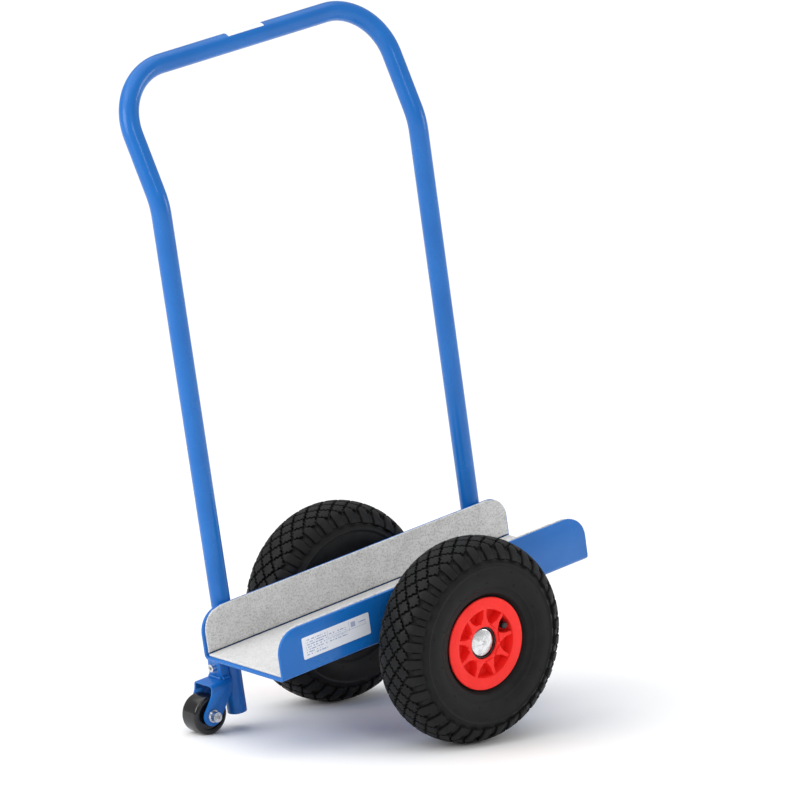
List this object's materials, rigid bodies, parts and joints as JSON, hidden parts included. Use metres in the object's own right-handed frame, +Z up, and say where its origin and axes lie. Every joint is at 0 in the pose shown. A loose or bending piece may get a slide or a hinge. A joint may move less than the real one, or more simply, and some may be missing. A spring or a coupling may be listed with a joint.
{
  "type": "hand truck",
  "caption": "Tipped panel truck: felt-lined steel trough on one axle with air-tyred wheels, a small fixed castor at one end and a tall bent-tube push handle along one side.",
  "frame": {"origin": "on the ground, under the middle of the standing truck's bounding box", "axes": "+Z up; +X along the trough towards its raised end, away from the castor; +Y across the trough towards the handle side, along the axle"},
  "size_m": [0.5844, 0.355, 0.8972],
  "materials": {
    "blue_paint": "glossy powder coat",
    "grey_felt": "speckled needle felt",
    "zinc_plate": "bright zinc plate",
    "bright_steel": "ground bright steel",
    "tread_rubber": "matt tyre rubber",
    "tube_rubber": "plain rubber",
    "red_plastic": "moulded, satin gloss",
    "black_nylon": "moulded, glossy",
    "natural_nylon": "moulded, matt",
    "white_film": "printed film"
  },
  "bodies": {
    "frame": {"tray": "blue_paint", "floor_felt": "grey_felt", "far_wall_felt": "grey_felt", "near_wall_felt": "grey_felt", "handle_tube": "blue_paint", "handle_welds": "blue_paint", "axle_tube": "blue_paint", "axle_tube_welds": "blue_paint", "axle": "bright_steel", "inner_washers": "zinc_plate", "outer_washers": "zinc_plate", "axle_caps": "zinc_plate", "castor_fork": "blue_paint", "castor_neck": "blue_paint", "castor_weld": "blue_paint", "neck_screw": "zinc_plate", "neck_nut": "zinc_plate", "castor_bolt": "zinc_plate", "castor_nut": "zinc_plate", "castor_washers": "zinc_plate", "castor_sleeve": "bright_steel", "rating_label": "white_film", "grip_label": "white_film"},
    "near_wheel": {"near_tyre": "tread_rubber", "near_inner_tube": "tube_rubber", "near_rim": "red_plastic", "near_bearing_cage": "natural_nylon", "near_rollers": "bright_steel", "near_hub_ring": "black_nylon", "near_valve_stem": "tube_rubber", "near_valve_cap": "black_nylon"},
    "far_wheel": {"far_tyre": "tread_rubber", "far_inner_tube": "tube_rubber", "far_rim": "red_plastic", "far_bearing_cage": "natural_nylon", "far_rollers": "bright_steel", "far_hub_ring": "black_nylon", "far_valve_stem": "tube_rubber", "far_valve_cap": "black_nylon"},
    "castor": {"castor_wheel": "black_nylon", "castor_bush": "natural_nylon"}
  },
  "joints": [
    {"name": "near_wheel_spin", "type": "hinge", "parent": "frame", "child": "near_wheel", "pos_m": [0.04949, -0.135, 0.13], "axis": [0, 1, 0], "continuous": true},
    {"name": "far_wheel_spin", "type": "hinge", "parent": "frame", "child": "far_wheel", "pos_m": [0.04949, 0.135, 0.13], "axis": [0, 1, 0], "continuous": true},
    {"name": "castor_spin", "type": "hinge", "parent": "frame", "child": "castor", "pos_m": [-0.19002, 0.092, 0.025], "axis": [0, 1, 0], "continuous": true}
  ]
}
